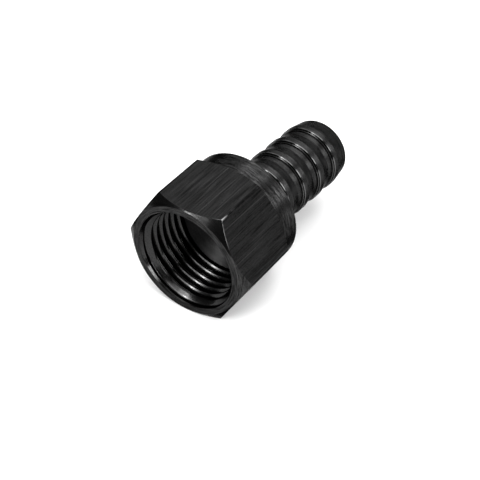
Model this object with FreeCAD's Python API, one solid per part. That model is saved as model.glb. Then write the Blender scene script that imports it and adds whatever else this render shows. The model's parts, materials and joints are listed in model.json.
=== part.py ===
import FreeCAD, Part
import math
import os

# A swivel hose barb fitting in two turned pieces: a hexagon nut with a female pipe thread, and a
# barbed hose tail whose flange sits inside the nut. The nut turns freely on the tail.
# X runs along the nut's axis from the centre of its mouth towards the hose, Z is up, and the nut
# lies on one of its flats. Lengths are in millimetres.

# The nut's outside
nut_wall = 1.5225               # from the thread's root out to a flat of the hexagon
corner_rounding = 0.2           # as the drawn hexagon bar has it
nut_length = 19.5
mouth_ring_width = 1.2725       # flat ring round the mouth, from the thread's root out
front_corner_depth = 1.75       # from the mouth to the front corners of the hexagon
back_corner_depth = 13.55       # from the mouth to the back corners of the hexagon
back_chamfer_length = 1.4       # from the back corners to where the round collar starts
collar_wall = 1.28              # from the undercut inside out to the collar's surface
collar_edge_break = 0.2

# The nut's bore: G 1/2 pipe thread, 14 turns to the inch, drawn at its root
thread_root_radius = 10.4775
thread_height = 1.1615          # from the root in to the crest
thread_length = 11.3
undercut_depth = 0.17           # below the thread's root, from the thread to the shoulder
rear_hole_edge_break = 0.3

# The tail's hose end: barbs with a step that faces the nut, a round land, and a ramp down to the neck
barb_radius = 6.98
barb_height = 0.46              # from the land down to the neck
barb_pitch = 5.3
barb_count = 4
barb_land_length = 1.48
barb_ramp_length = 2.15
bare_neck_length = 4.6          # from the back of the nut to the first step
step_foot_chamfer = 0.12
step_edge_break = 0.06
tip_land_length = 1.3
tip_ramp_length = 2.85
tip_ramp_drop = 0.48
tip_rounding = 1.45
neck_wall = 1.92                # from the neck in to the water bore
water_bore_edge_break = 0.3

# The tail's flange, which stays in the nut, with a narrow flat land round a wide countersink
flange_face_depth = 11.5        # from the mouth to the flat land
flange_land_width = 0.2
countersink_angle = 125.0       # degrees, across the cone
flange_thickness = 3.4
flange_edge_break = 0.15
flange_foot_chamfer = 0.4

# Fits: the flange passes the thread, the barbs pass the rear hole, and the slim neck is loose in it
flange_to_thread_clearance = 0.236
barb_to_hole_clearance = 0.1
touching_gap = 0.05             # left where the loose tail bears on the rear hole's edge
flange_to_shoulder_gap = 0.1

# The loose tail leans in the nut: the two axes cross inside the thread
axes_cross_depth = 6.45
lean_towards = 212.75           # degrees about X, from Y towards Z

# Worked out from the values above
across_flats = 2 * (thread_root_radius + nut_wall)
corner_radius = across_flats / math.sqrt(3.0)
mouth_ring_radius = thread_root_radius + mouth_ring_width
thread_crest_radius = thread_root_radius - thread_height
undercut_radius = thread_root_radius + undercut_depth
collar_radius = undercut_radius + collar_wall
neck_radius = barb_radius - barb_height
water_bore_radius = neck_radius - neck_wall
flange_radius = thread_crest_radius - flange_to_thread_clearance
rear_hole_radius = barb_radius + barb_to_hole_clearance
neck_play = rear_hole_radius - neck_radius
bearing_depth = nut_length - rear_hole_edge_break
lean = math.atan2(neck_play - touching_gap, bearing_depth - axes_cross_depth)
flange_back_depth = flange_face_depth + flange_thickness
countersink_radius = flange_radius - flange_land_width
countersink_depth = (countersink_radius - water_bore_radius) / math.tan(math.radians(countersink_angle / 2))
shoulder_depth = flange_back_depth + flange_radius * math.sin(lean) + flange_to_shoulder_gap
first_barb_depth = nut_length + bare_neck_length
last_barb_depth = first_barb_depth + (barb_count - 1) * barb_pitch
tip_round_start = last_barb_depth + tip_land_length + tip_ramp_length
tail_end_depth = tip_round_start + tip_rounding

X_AXIS = FreeCAD.Vector(1, 0, 0)
ORIGIN = FreeCAD.Vector(0, 0, 0)


def at(depth, radius):
    """A point of a turned profile: depth along the axis, radius from it."""
    return FreeCAD.Vector(depth, 0, radius)


def turned(outline):
    """The solid that a closed outline of edges sweeps in one turn about X."""
    face = Part.Face(Part.Wire(outline))
    return face.revolve(ORIGIN, X_AXIS, 360)


def straight_run(points):
    """Straight edges from each point to the next."""
    return [Part.LineSegment(a, b).toShape() for a, b in zip(points, points[1:])]


def straight_outline(points):
    """Straight edges through the points and back to the first."""
    return straight_run(points + points[:1])


def quarter_arc(start, end, centre):
    """The short arc from start to end about centre."""
    radius = (start - centre).Length
    middle = centre + ((start + end) * 0.5 - centre).normalize() * radius
    return Part.Arc(start, middle, end).toShape()


def hexagon_bar(length):
    """A six-sided bar from the mouth, with rounded corners, one flat up and one flat down."""
    corners = []
    for index in range(6):
        angle = math.radians(60 * index)
        corners.append(FreeCAD.Vector(0, corner_radius * math.cos(angle), corner_radius * math.sin(angle)))
    bar = Part.Face(Part.makePolygon(corners + corners[:1])).extrude(X_AXIS * length)
    long_edges = [edge for edge in bar.Edges if abs(edge.tangentAt(edge.FirstParameter).x) > 0.9]
    return bar.makeFillet(corner_rounding, long_edges)


def make_nut():
    """The nut: hexagon bar turned to a flat mouth ring, two corner chamfers and a round collar."""
    collar_start = back_corner_depth + back_chamfer_length
    hexagon = hexagon_bar(collar_start)
    turning = turned(straight_outline([
        at(0, 0),
        at(0, mouth_ring_radius),
        at(front_corner_depth, corner_radius),
        at(back_corner_depth, corner_radius),
        at(collar_start, collar_radius),
        at(collar_start, 0),
    ]))
    collar = turned(straight_outline([
        at(back_corner_depth, 0),
        at(back_corner_depth, collar_radius),
        at(nut_length - collar_edge_break, collar_radius),
        at(nut_length, collar_radius - collar_edge_break),
        at(nut_length, 0),
    ]))
    hole_edge = nut_length - rear_hole_edge_break
    bore = turned(straight_outline([
        at(0, 0),
        at(0, thread_root_radius),
        at(thread_length, thread_root_radius),
        at(thread_length, undercut_radius),
        at(shoulder_depth, undercut_radius),
        at(shoulder_depth, rear_hole_radius),
        at(hole_edge, rear_hole_radius),
        at(nut_length, rear_hole_radius + rear_hole_edge_break),
        at(nut_length, 0),
    ]))
    return hexagon.common(turning).fuse(collar).cut(bore).removeSplitter().Solids[0]


def barb_points(step_depth):
    """The step of one barb up from the neck, with its foot chamfer and its broken edge."""
    return [
        at(step_depth - step_foot_chamfer, neck_radius),
        at(step_depth, neck_radius + step_foot_chamfer),
        at(step_depth, barb_radius - step_edge_break),
        at(step_depth + step_edge_break, barb_radius),
    ]


def make_tail():
    """The tail: flange, bare neck, barbs, rounded tip and water bore, turned about its own axis."""
    edge = flange_edge_break
    outside = [
        at(flange_face_depth, countersink_radius),
        at(flange_face_depth, flange_radius - edge),
        at(flange_face_depth + edge, flange_radius),
        at(flange_back_depth - edge, flange_radius),
        at(flange_back_depth, flange_radius - edge),
        at(flange_back_depth, neck_radius + flange_foot_chamfer),
        at(flange_back_depth + flange_foot_chamfer, neck_radius),
    ]
    for index in range(barb_count):
        step_depth = first_barb_depth + index * barb_pitch
        outside += barb_points(step_depth)
        if index < barb_count - 1:
            land_end = step_depth + barb_land_length
            outside.append(at(land_end, barb_radius))
            outside.append(at(land_end + barb_ramp_length, neck_radius))
    outside.append(at(last_barb_depth + tip_land_length, barb_radius))
    round_radius = barb_radius - tip_ramp_drop
    outside.append(at(tip_round_start, round_radius))

    inside = [
        at(tail_end_depth, round_radius - tip_rounding),
        at(tail_end_depth, water_bore_radius + water_bore_edge_break),
        at(tail_end_depth - water_bore_edge_break, water_bore_radius),
        at(flange_face_depth + countersink_depth, water_bore_radius),
        outside[0],
    ]
    round_centre = at(tip_round_start, round_radius - tip_rounding)
    rounding = quarter_arc(outside[-1], inside[0], round_centre)
    return turned(straight_run(outside) + [rounding] + straight_run(inside))


def leaned(shape):
    """The shape turned about the point where the axes cross, by the lean that the loose fit allows."""
    side = math.radians(lean_towards)
    hinge = X_AXIS.cross(FreeCAD.Vector(0, math.cos(side), math.sin(side)))
    turn = FreeCAD.Rotation(hinge, math.degrees(lean))
    crossing = FreeCAD.Vector(axes_cross_depth, 0, 0)
    placed = shape.copy()
    placed.Placement = FreeCAD.Placement(ORIGIN, turn, crossing)
    return placed


os.makedirs("parts", exist_ok=True)
nut = make_nut()
tail = leaned(make_tail())
nut.exportStep("parts/swivel_nut.step")
tail.exportStep("parts/barbed_tail.step")
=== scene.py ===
import bmesh
import bpy
import json
import math
from mathutils import Matrix, Vector


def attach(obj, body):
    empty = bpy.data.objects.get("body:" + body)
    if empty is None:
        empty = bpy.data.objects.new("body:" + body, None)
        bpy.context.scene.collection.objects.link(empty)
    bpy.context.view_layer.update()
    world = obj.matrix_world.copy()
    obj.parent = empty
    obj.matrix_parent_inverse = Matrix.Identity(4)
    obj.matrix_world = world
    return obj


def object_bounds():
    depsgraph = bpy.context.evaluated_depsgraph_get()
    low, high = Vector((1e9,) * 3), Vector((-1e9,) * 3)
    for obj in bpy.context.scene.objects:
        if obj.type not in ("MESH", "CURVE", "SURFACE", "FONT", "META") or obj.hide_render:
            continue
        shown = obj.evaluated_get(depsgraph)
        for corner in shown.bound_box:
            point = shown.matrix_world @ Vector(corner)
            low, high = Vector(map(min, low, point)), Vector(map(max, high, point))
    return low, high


# The fitting as packed: a hexagon nut with a female pipe thread, loose on a barbed hose tail.
# Everything is in metres, with X along the nut's axis from its mouth towards the hose and Z up.
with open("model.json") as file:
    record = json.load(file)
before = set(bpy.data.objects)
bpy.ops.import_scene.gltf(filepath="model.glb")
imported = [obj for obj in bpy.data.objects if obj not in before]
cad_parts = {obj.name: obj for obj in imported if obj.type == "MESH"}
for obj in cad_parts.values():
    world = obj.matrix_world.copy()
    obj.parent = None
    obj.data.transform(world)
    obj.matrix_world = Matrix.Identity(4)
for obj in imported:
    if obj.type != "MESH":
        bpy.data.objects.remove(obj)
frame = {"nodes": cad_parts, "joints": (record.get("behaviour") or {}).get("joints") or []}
cad_low, cad_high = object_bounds()
MM = 0.001


# The nut: black anodised aluminium cut from drawn hexagon bar. Its flats keep the bar's long
# scratches, and the mouth ring, corner chamfers and collar are turned, with rings round the axis.
def colour(hex_value):
    """An sRGB hex value as linear red, green, blue and alpha."""
    parts = [int(hex_value[i:i + 2], 16) / 255 for i in (1, 3, 5)]
    return [p / 12.92 if p <= 0.04045 else ((p + 0.055) / 1.055) ** 2.4 for p in parts] + [1.0]


# A Mix node takes two numbers at sockets 2 and 3, or two colours at 6 and 7, mixed at output 0 or 2
def add(tree, kind, inputs=None, **settings):
    """A node of this kind, with its settings, and its inputs set to values or linked to sockets."""
    node = tree.nodes.new(kind)
    for name, value in settings.items():
        setattr(node, name, value)
    for socket, value in (inputs or {}).items():
        if isinstance(value, bpy.types.NodeSocket):
            tree.links.new(value, node.inputs[socket])
        else:
            node.inputs[socket].default_value = value
    return node


def new_material(name):
    """An empty material with its output node."""
    material = bpy.data.materials.new(name)
    material.use_nodes = True
    material.node_tree.nodes.clear()
    output = add(material.node_tree, "ShaderNodeOutputMaterial")
    return material, material.node_tree, output


def drawn_lines(tree, point, length, apart, detail, shift=(0.0, 0.0, 0.0)):
    """A noise in lines along X, about this long and this far apart."""
    stretched = add(tree, "ShaderNodeMapping", {
        "Vector": point, "Location": shift, "Scale": (1 / length, 1 / apart, 1 / apart)})
    noise = add(tree, "ShaderNodeTexNoise", {
        "Vector": stretched.outputs[0], "Scale": 1.0, "Detail": detail, "Roughness": 0.7})
    return noise.outputs["Fac"]


def turning_marks(tree, point, apart, marks_round):
    """Depth, radius, and a noise of short marks round X, this far apart and without a seam."""
    xyz = add(tree, "ShaderNodeSeparateXYZ", {0: point})
    flat = add(tree, "ShaderNodeCombineXYZ", {"Y": xyz.outputs["Y"], "Z": xyz.outputs["Z"]})
    radius = add(tree, "ShaderNodeVectorMath", {0: flat.outputs[0]}, operation="LENGTH")
    around = add(tree, "ShaderNodeVectorMath", {0: flat.outputs[0]}, operation="NORMALIZE")

    # A cylinder crosses the marks by its depth and a face by its radius, and no cone runs along one
    marks_by_depth = 0.6 / apart
    marks_by_radius = 1.1 / apart
    by_depth = add(tree, "ShaderNodeMath", {0: xyz.outputs["X"], 1: marks_by_depth}, operation="MULTIPLY")
    across = add(tree, "ShaderNodeMath", {
        0: radius.outputs["Value"], 1: marks_by_radius, 2: by_depth.outputs[0]}, operation="MULTIPLY_ADD")
    line = add(tree, "ShaderNodeCombineXYZ", {"X": across.outputs[0]})
    spread = [marks_round / (2 * math.pi)] * 3
    place_round = add(tree, "ShaderNodeVectorMath", {
        0: around.outputs[0], 1: spread, 2: line.outputs[0]}, operation="MULTIPLY_ADD")
    noise = add(tree, "ShaderNodeTexNoise", {
        "Vector": place_round.outputs[0], "Scale": 1.0, "Detail": 3.0, "Roughness": 0.6})
    return xyz.outputs["X"], radius.outputs["Value"], noise.outputs["Fac"]


nut = frame["nodes"]["swivel_nut"]
corner_radius = 13.856 * MM
mouth_ring_radius = 11.75 * MM
front_chamfer_depth = 1.75 * MM
collar_start = 14.9 * MM
scratches_apart = 0.3 * MM
least_turned_slope = 0.15     # of a surface normal, along X
turned_shine = 0.12           # less roughness than on the flats
nut_material, tree, output = new_material("black anodised aluminium, drawn flats and turned ends")
place = add(tree, "ShaderNodeTexCoord").outputs["Object"]

# Scratches along the drawn bar, about 12 mm long: finer on the real bar, drawn 0.3 mm apart to show
streaks = drawn_lines(tree, place, length=12 * MM, apart=scratches_apart, detail=4.0)

# Marks from the lathe: finer on the real nut, drawn 0.2 mm apart and about 3 mm long so that they show
depth, radius, rings = turning_marks(tree, place, apart=0.2 * MM, marks_round=25)

# The turned surfaces face partly along X, or lie behind the hexagon
normal = add(tree, "ShaderNodeNewGeometry").outputs["Normal"]
facing = add(tree, "ShaderNodeSeparateXYZ", {0: normal})
slope = add(tree, "ShaderNodeMath", {0: facing.outputs["X"]}, operation="ABSOLUTE")
sloped = add(tree, "ShaderNodeMath", {0: slope.outputs[0], 1: least_turned_slope}, operation="GREATER_THAN")
behind = add(tree, "ShaderNodeMath", {0: depth, 1: collar_start}, operation="GREATER_THAN")
turned = add(tree, "ShaderNodeMath", {0: sloped.outputs[0], 1: behind.outputs[0]}, operation="MAXIMUM")
drawn = add(tree, "ShaderNodeMath", {0: 1.0, 1: turned.outputs[0]}, operation="SUBTRACT")
lines = add(tree, "ShaderNodeMix", {
    "Factor": turned.outputs[0], 2: streaks, 3: rings}, data_type="FLOAT")

# The anodised skin's matt grain: finer on the real nut, drawn 0.2 mm apart so that it shows
grain = add(tree, "ShaderNodeTexNoise", {
    "Vector": place, "Scale": 1 / (0.2 * MM), "Detail": 2.0, "Roughness": 0.6})
marks = add(tree, "ShaderNodeMix", {
    "Factor": 0.35, 2: lines.outputs[0], 3: grain.outputs["Fac"]}, data_type="FLOAT")
tone = add(tree, "ShaderNodeMapRange", {"Value": marks.outputs[0], "From Min": 0.4, "From Max": 0.62})
skin = add(tree, "ShaderNodeMix", {
    "Factor": tone.outputs[0], 6: colour("#141414"), 7: colour("#3b3b3b")}, data_type="RGBA")

# Deeper dark scratches, about 7 mm long, lie along the flats only
scratches = drawn_lines(tree, place, length=7 * MM, apart=scratches_apart, detail=0.0)
scratched = add(tree, "ShaderNodeMapRange", {
    "Value": scratches, "From Min": 0.64, "From Max": 0.76, "To Max": 0.7})
on_flats = add(tree, "ShaderNodeMath", {0: scratched.outputs[0], 1: drawn.outputs[0]}, operation="MULTIPLY")
cut = add(tree, "ShaderNodeMix", {
    "Factor": on_flats.outputs[0], 6: skin.outputs[2], 7: colour("#0c0c0c")}, data_type="RGBA")

# Long pale lines, about 20 mm long, fewer and in other places, where the skin is thinner
pale_lines = drawn_lines(
    tree, place, length=20 * MM, apart=scratches_apart, detail=0.0, shift=(300.0, 700.0, 100.0))
paled = add(tree, "ShaderNodeMapRange", {
    "Value": pale_lines, "From Min": 0.7, "From Max": 0.8, "To Max": 0.6})
flat_lines = add(tree, "ShaderNodeMath", {0: paled.outputs[0], 1: drawn.outputs[0]}, operation="MULTIPLY")
lined = add(tree, "ShaderNodeMix", {
    "Factor": flat_lines.outputs[0], 6: cut.outputs[2], 7: colour("#484848")}, data_type="RGBA")

# The six corners are darker, in broken lines
corner = add(tree, "ShaderNodeMapRange", {"Value": radius, "From Min": 13.66 * MM, "From Max": 13.78 * MM})
patches = add(tree, "ShaderNodeTexNoise", {
    "Vector": place, "Scale": 1 / (1.6 * MM), "Detail": 4.0, "Roughness": 0.7})
patched = add(tree, "ShaderNodeMapRange", {
    "Value": patches.outputs["Fac"], "From Min": 0.35, "From Max": 0.5, "To Max": 0.85})
dark_corners = add(tree, "ShaderNodeMath", {0: corner.outputs[0], 1: patched.outputs[0]}, operation="MULTIPLY")
darkened = add(tree, "ShaderNodeMix", {
    "Factor": dark_corners.outputs[0], 6: lined.outputs[2], 7: colour("#0a0a0a")}, data_type="RGBA")

# A painted highlight: a bright line on a side flat, where the flat meets the cone of the front chamfer
highlight_place = (0.97 * MM, -7.99 * MM, 10.16 * MM)
chamfer_radius = add(tree, "ShaderNodeMapRange", {
    "Value": depth, "From Min": 0.0, "From Max": front_chamfer_depth,
    "To Min": mouth_ring_radius, "To Max": corner_radius})
below_edge = add(tree, "ShaderNodeMath", {0: chamfer_radius.outputs[0], 1: radius}, operation="SUBTRACT")
edge_line = add(tree, "ShaderNodeMapRange", {
    "Value": below_edge.outputs[0], "From Min": 0.02 * MM, "From Max": 0.13 * MM,
    "To Min": 1.0, "To Max": 0.0})
from_highlight = add(tree, "ShaderNodeVectorMath", {0: place, 1: highlight_place}, operation="DISTANCE")
near_highlight = add(tree, "ShaderNodeMapRange", {
    "Value": from_highlight.outputs["Value"], "From Min": 1.6 * MM, "From Max": 3.4 * MM,
    "To Min": 1.0, "To Max": 0.0})
highlight_line = add(tree, "ShaderNodeMath", {
    0: edge_line.outputs[0], 1: near_highlight.outputs[0]}, operation="MULTIPLY")
painted_highlight = add(tree, "ShaderNodeMath", {0: highlight_line.outputs[0], 1: drawn.outputs[0]}, operation="MULTIPLY")
# The painted highlight is mixed in as a pale grey
paint = add(tree, "ShaderNodeMix", {
    "Factor": painted_highlight.outputs[0], 6: darkened.outputs[2], 7: colour("#b4b4b4")}, data_type="RGBA")

# The skin is satin, smoother where it is pale and on the turned faces. The dye also takes away
# the white glare that bare metal has at a grazing angle, which the specular tint does here.
roughness = add(tree, "ShaderNodeMapRange", {
    "Value": marks.outputs[0], "From Min": 0.38, "From Max": 0.62, "To Min": 0.42, "To Max": 0.24})
turned_roughness = add(tree, "ShaderNodeMath", {
    0: sloped.outputs[0], 1: -turned_shine, 2: roughness.outputs[0]}, operation="MULTIPLY_ADD")
relief = add(tree, "ShaderNodeBump", {
    "Height": marks.outputs[0], "Strength": 1.0, "Distance": 0.01 * MM})
surface = add(tree, "ShaderNodeBsdfPrincipled", {
    "Base Color": paint.outputs[2], "Metallic": 1.0, "Roughness": turned_roughness.outputs[0],
    "Specular Tint": colour("#9c9c9c"), "Normal": relief.outputs[0]})
tree.links.new(surface.outputs[0], output.inputs["Surface"])
nut.material_slots[0].material = nut_material


# The nut's thread: G 1/2 pipe thread, right-hand, 14 turns to the inch, in the nut's own metal.
# It is cut with a pointed tool, from the countersunk mouth to the undercut behind it.
pitch = 25.4 * MM / 14
root_radius = 10.455 * MM
crest_radius = 9.316 * MM
flank_angle = math.radians(27.5)
rounding = 0.137 * pitch
countersink_angle = math.radians(60)
thread_start = 0.03 * MM
thread_end = 11.28 * MM
thread_phase = math.radians(180)
steps_per_turn = 90
round_steps = 4

thread_mesh = bpy.data.meshes.new("pipe_thread")
bm = bmesh.new()

# One pitch of the profile, from root to root: two straight flanks, and rounding at crest and root
half_arc = math.pi / 2 - flank_angle
profile = []
for centre_depth, centre_radius, outward, start in (
        (0.0, root_radius - rounding, 1, 0),
        (pitch / 2, crest_radius + rounding, -1, -round_steps),
        (pitch, root_radius - rounding, 1, -round_steps)):
    stop = 0 if centre_depth == pitch else round_steps
    for step in range(start, stop + 1):
        turn = half_arc * step / round_steps
        profile.append(Vector((
            centre_depth + rounding * math.sin(turn),
            0.0,
            centre_radius + outward * rounding * math.cos(turn))))

# It is spun into a helix that reaches past both ends of the thread, which is then cut to length
turns = math.ceil((thread_end - thread_start) / pitch) + 2
first_turn = Matrix.Translation((thread_start - 1.5 * pitch, 0, 0))
verts = [bm.verts.new(first_turn @ p) for p in profile]
edges = [bm.edges.new(pair) for pair in zip(verts, verts[1:])]
bmesh.ops.spin(
    bm, geom=verts + edges, cent=(0, 0, 0), axis=(1, 0, 0), dvec=(pitch / steps_per_turn, 0, 0),
    angle=2 * math.pi * turns, steps=steps_per_turn * turns, use_merge=False)
bmesh.ops.remove_doubles(bm, verts=bm.verts, dist=0.002 * MM)
bmesh.ops.rotate(bm, verts=bm.verts, cent=(0, 0, 0), matrix=Matrix.Rotation(thread_phase, 3, "X"))
for cut_depth, side in ((thread_start, -1), (thread_end, 1)):
    bmesh.ops.bisect_plane(
        bm, geom=bm.verts[:] + bm.edges[:] + bm.faces[:], plane_co=(cut_depth, 0, 0),
        plane_no=(side, 0, 0), clear_outer=True)


def set_radius(vert, new_radius):
    """Moves a vertex straight out from the axis, or in towards it."""
    scale = new_radius / math.hypot(vert.co.y, vert.co.z)
    vert.co.y *= scale
    vert.co.z *= scale


# The countersink at the mouth is a cone that cuts the first crest back
for vert in bm.verts:
    cone_radius = root_radius - (vert.co.x - thread_start) * math.tan(countersink_angle / 2)
    if math.hypot(vert.co.y, vert.co.z) < cone_radius:
        set_radius(vert, cone_radius)

# The end towards the undercut is faced off flat, out to the bore's wall
end_edges = [
    edge for edge in bm.edges
    if edge.is_boundary and all(math.isclose(v.co.x, thread_end, abs_tol=0.0001 * MM) for v in edge.verts)]
end_face = bmesh.ops.extrude_edge_only(bm, edges=end_edges)
for part in end_face["geom"]:
    if isinstance(part, bmesh.types.BMVert):
        set_radius(part, root_radius)

# Its faces point towards the axis, since the metal lies outside them
bmesh.ops.recalc_face_normals(bm, faces=bm.faces)
outward_sum = 0.0
for face in bm.faces:
    face.smooth = True
    middle = face.calc_center_median()
    outward_sum += face.normal.y * middle.y + face.normal.z * middle.z
if outward_sum > 0:
    bmesh.ops.reverse_faces(bm, faces=bm.faces)
bm.to_mesh(thread_mesh)
bm.free()
thread = bpy.data.objects.new("pipe_thread", thread_mesh)
bpy.context.scene.collection.objects.link(thread)

# The flanks of the cut thread are the smoothest skin of all, slightly torn every 0.25 mm
thread_material, tree, output = new_material("black anodised aluminium, cut thread")
place = add(tree, "ShaderNodeTexCoord").outputs["Object"]
tearing = add(tree, "ShaderNodeTexNoise", {
    "Vector": place, "Scale": 1 / (0.25 * MM), "Detail": 3.0, "Roughness": 0.6}).outputs["Fac"]
skin = add(tree, "ShaderNodeMix", {
    "Factor": tearing, 6: colour("#1c1c1c"), 7: colour("#3c3c3c")}, data_type="RGBA")
roughness = add(tree, "ShaderNodeMapRange", {
    "Value": tearing, "From Min": 0.35, "From Max": 0.65, "To Min": 0.26, "To Max": 0.08})
relief = add(tree, "ShaderNodeBump", {"Height": tearing, "Strength": 1.0, "Distance": 0.004 * MM})
surface = add(tree, "ShaderNodeBsdfPrincipled", {
    "Base Color": skin.outputs[2], "Metallic": 1.0, "Roughness": roughness.outputs[0],
    "Specular Tint": colour("#9c9c9c"), "Normal": relief.outputs[0]})
tree.links.new(surface.outputs[0], output.inputs["Surface"])
thread_mesh.materials.append(thread_material)
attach(thread, "nut")


# The hose tail: black anodised aluminium, turned from bar in one piece, loose in the nut.
# The tool leaves fine rings on its barbs, its rounded tip and the face inside the nut.
tail = frame["nodes"]["barbed_tail"]
swivel = frame["joints"][0]
flange_back = 8.5 * MM        # along the tail, from the joint
barbs_start = 16.5 * MM       # along the tail, from the joint to the end of the bare neck
first_step = 17.5 * MM        # along the tail, from the joint to just before the first step
barb_pitch = 5.3 * MM
step_reach = 0.42 * MM        # along the tail, across a step and its edge
foot_reach = 0.4 * MM         # along the tail, before a step
mid_step_radius = 6.6 * MM
# How strongly the painted shade darkens the step feet and the flange
painted_shade_cover = 0.88
tail_material, tree, output = new_material("black anodised aluminium, turned")
place = add(tree, "ShaderNodeTexCoord").outputs["Object"]

# The tail leans in the nut, so its marks follow its own axis, which is the joint's
to_axis = Vector(swivel["axis"]).normalized().rotation_difference(Vector((1, 0, 0))).to_euler()
centred = add(tree, "ShaderNodeVectorMath", {0: place, 1: Vector(swivel["pos_m"])}, operation="SUBTRACT")
upright = add(tree, "ShaderNodeMapping", {"Vector": centred.outputs[0], "Rotation": to_axis})

# Marks from the lathe and the skin's matt grain: finer on the real tail, drawn 0.2 mm apart
depth, radius, rings = turning_marks(tree, upright.outputs[0], apart=0.2 * MM, marks_round=16)
grain = add(tree, "ShaderNodeTexNoise", {
    "Vector": place, "Scale": 1 / (0.2 * MM), "Detail": 2.0, "Roughness": 0.6})
marks = add(tree, "ShaderNodeMix", {
    "Factor": 0.5, 2: rings, 3: grain.outputs["Fac"]}, data_type="FLOAT")
tone = add(tree, "ShaderNodeMapRange", {"Value": marks.outputs[0], "From Min": 0.38, "From Max": 0.62})
skin = add(tree, "ShaderNodeMix", {
    "Factor": tone.outputs[0], 6: colour("#202020"), 7: colour("#3c3c3c")}, data_type="RGBA")

# The steps of the barbs are cut with a fresh corner of the tool and are smoother than the rest; their
# lighter colour is a painted highlight
from_step = add(tree, "ShaderNodeMath", {0: depth, 1: first_step}, operation="SUBTRACT")
barb_number = add(tree, "ShaderNodeMath", {0: from_step.outputs[0], 1: barb_pitch}, operation="DIVIDE")
along_barb = add(tree, "ShaderNodeMath", {0: barb_number.outputs[0]}, operation="FRACT")
near_step = add(tree, "ShaderNodeMath", {
    0: along_barb.outputs[0], 1: step_reach / barb_pitch}, operation="LESS_THAN")
proud = add(tree, "ShaderNodeMath", {0: radius, 1: mid_step_radius}, operation="GREATER_THAN")
step_face = add(tree, "ShaderNodeMath", {0: near_step.outputs[0], 1: proud.outputs[0]}, operation="MULTIPLY")
step_highlighted = add(tree, "ShaderNodeMix", {
    "Factor": step_face.outputs[0], 6: skin.outputs[2], 7: colour("#525252")}, data_type="RGBA")

# Painted shade: near black in the foot of each step, and over the flange, whose countersink faces the mouth
# from inside the nut
before_step = add(tree, "ShaderNodeMath", {
    0: along_barb.outputs[0], 1: 1 - foot_reach / barb_pitch}, operation="GREATER_THAN")
low = add(tree, "ShaderNodeMath", {0: 1.0, 1: proud.outputs[0]}, operation="SUBTRACT")
step_foot = add(tree, "ShaderNodeMath", {0: before_step.outputs[0], 1: low.outputs[0]}, operation="MULTIPLY")
on_barbs = add(tree, "ShaderNodeMath", {0: depth, 1: barbs_start}, operation="GREATER_THAN")
barb_foot = add(tree, "ShaderNodeMath", {
    0: step_foot.outputs[0], 1: on_barbs.outputs[0]}, operation="MULTIPLY")
on_flange = add(tree, "ShaderNodeMath", {0: depth, 1: flange_back}, operation="LESS_THAN")
darkened = add(tree, "ShaderNodeMath", {0: barb_foot.outputs[0], 1: on_flange.outputs[0]}, operation="MAXIMUM")
foot_and_flange_shade = add(tree, "ShaderNodeMath", {0: darkened.outputs[0], 1: painted_shade_cover}, operation="MULTIPLY")
paint = add(tree, "ShaderNodeMix", {
    "Factor": foot_and_flange_shade.outputs[0], 6: step_highlighted.outputs[2], 7: colour("#080808")}, data_type="RGBA")
roughness = add(tree, "ShaderNodeMapRange", {
    "Value": step_face.outputs[0], "From Min": 0.0, "From Max": 1.0, "To Min": 0.34, "To Max": 0.12})
relief = add(tree, "ShaderNodeBump", {
    "Height": marks.outputs[0], "Strength": 1.0, "Distance": 0.012 * MM})
surface = add(tree, "ShaderNodeBsdfPrincipled", {
    "Base Color": paint.outputs[2], "Metallic": 1.0, "Roughness": roughness.outputs[0],
    "Specular Tint": colour("#9c9c9c"), "Normal": relief.outputs[0]})
tree.links.new(surface.outputs[0], output.inputs["Surface"])
tail.material_slots[0].material = tail_material


# The studio floor: a sheet of pale matt paper without a gloss, on which the nut lies on a flat.
# A faint glow keeps it nearly white where the lights reach it less.
floor_half_width = 0.6
floor_mesh = bpy.data.meshes.new("studio_floor")
bm = bmesh.new()
bmesh.ops.create_grid(bm, x_segments=1, y_segments=1, size=floor_half_width)
bmesh.ops.translate(bm, verts=bm.verts, vec=(0, 0, cad_low.z))
bm.to_mesh(floor_mesh)
bm.free()
floor = bpy.data.objects.new("studio_floor", floor_mesh)
bpy.context.scene.collection.objects.link(floor)
floor_material, tree, output = new_material("pale studio paper")
surface = add(tree, "ShaderNodeBsdfPrincipled", {
    "Base Color": colour("#f4f4f4"), "Roughness": 0.9, "Specular IOR Level": 0.0,
    "Emission Color": colour("#ffffff"), "Emission Strength": 0.04})
tree.links.new(surface.outputs[0], output.inputs["Surface"])
floor_mesh.materials.append(floor_material)


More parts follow.
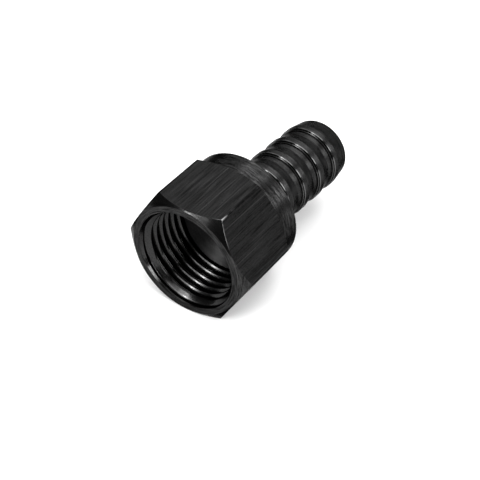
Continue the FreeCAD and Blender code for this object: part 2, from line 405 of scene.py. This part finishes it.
# The lights: softboxes on stands round the fitting, which all face it, in a dim white room.
# Each has its azimuth, elevation, width and height in degrees, seen from the fitting, and its brightness.
softbox_distance = 0.6
fitting_middle = (cad_low + cad_high) / 2
for name, azimuth, elevation, wide, high, brightness in (
        ("back softbox", -2, 51, 34, 24, 3.6),
        ("back left softbox", 40, 36, 34, 30, 1.3),
        ("low back softbox", 22, 16, 76, 20, 1.5),
        ("right softbox", -52, 25, 26, 20, 5.6),
        ("right strip", -115, 30, 14, 32, 15.0),
        ("left softbox", 174, 30, 16, 42, 2.5),
        ("left strip", 162, 34, 10, 38, 7.7),
        ("narrow left strip", 154, 34, 7, 38, 11.0),
        ("low left softbox", 163, 9, 30, 14, 6.0),
        ("low left strip", 157, 10, 6, 16, 40.0),
        ("top softbox", 0, 89, 50, 50, 1.7),
        ("rear softbox", 90, 66, 40, 24, 1.2),
        ("high right softbox", -75, 70, 40, 24, 3.0)):
    light = bpy.data.lights.new(name, "AREA")
    light.shape = "RECTANGLE"
    light.size = 2 * softbox_distance * math.tan(math.radians(wide) / 2)
    light.size_y = 2 * softbox_distance * math.tan(math.radians(high) / 2)
    light.energy = brightness * math.pi * light.size * light.size_y
    lamp = bpy.data.objects.new(name, light)
    around = Matrix.Rotation(math.radians(azimuth), 4, "Z")
    tilt = Matrix.Rotation(math.radians(90 - elevation), 4, "Y")
    back = Matrix.Translation((0, 0, softbox_distance))
    level = Matrix.Rotation(math.pi / 2, 4, "Z")
    lamp.matrix_world = Matrix.Translation(fitting_middle) @ around @ tilt @ back @ level
    bpy.context.scene.collection.objects.link(lamp)

world = bpy.data.worlds.new("studio room")
world.use_nodes = True
world.node_tree.nodes["Background"].inputs["Color"].default_value = colour("#ffffff")
world.node_tree.nodes["Background"].inputs["Strength"].default_value = 0.12
bpy.context.scene.world = world
bpy.context.scene.view_settings.view_transform = "Standard"


# The camera: it stands where the photograph was taken, 252 mm from the mouth, with a long lens.
# The mouth's centre falls on the same pixel as in the photograph, and the camera rolls a little.
picture_size = 480
mouth_pixel = (184.66, 261.48)
focal_pixels = 1376.26
mouth_distance = 252.0 * MM
camera_azimuth = math.radians(-56.595)
camera_elevation = math.radians(40.567)
camera_roll = math.radians(1.346)
level_right = Vector((math.cos(camera_azimuth), math.sin(camera_azimuth), 0))
forward = Vector((
    -math.sin(camera_azimuth) * math.cos(camera_elevation),
    math.cos(camera_azimuth) * math.cos(camera_elevation),
    -math.sin(camera_elevation)))
level_up = level_right.cross(forward)
right = level_right * math.cos(camera_roll) + level_up * math.sin(camera_roll)
up = level_up * math.cos(camera_roll) - level_right * math.sin(camera_roll)
across = (mouth_pixel[0] - picture_size / 2) / focal_pixels * mouth_distance
down = (mouth_pixel[1] - picture_size / 2) / focal_pixels * mouth_distance
eye = -(right * across - up * down + forward * mouth_distance)
camera_data = bpy.data.cameras.new("camera")
camera_data.sensor_width = 36.0
camera_data.lens = camera_data.sensor_width * focal_pixels / picture_size
camera_data.clip_start = 0.01
camera = bpy.data.objects.new("camera", camera_data)
camera.matrix_world = Matrix.Translation(eye) @ Matrix((right, up, -forward)).transposed().to_4x4()
bpy.context.scene.collection.objects.link(camera)
bpy.context.scene.camera = camera
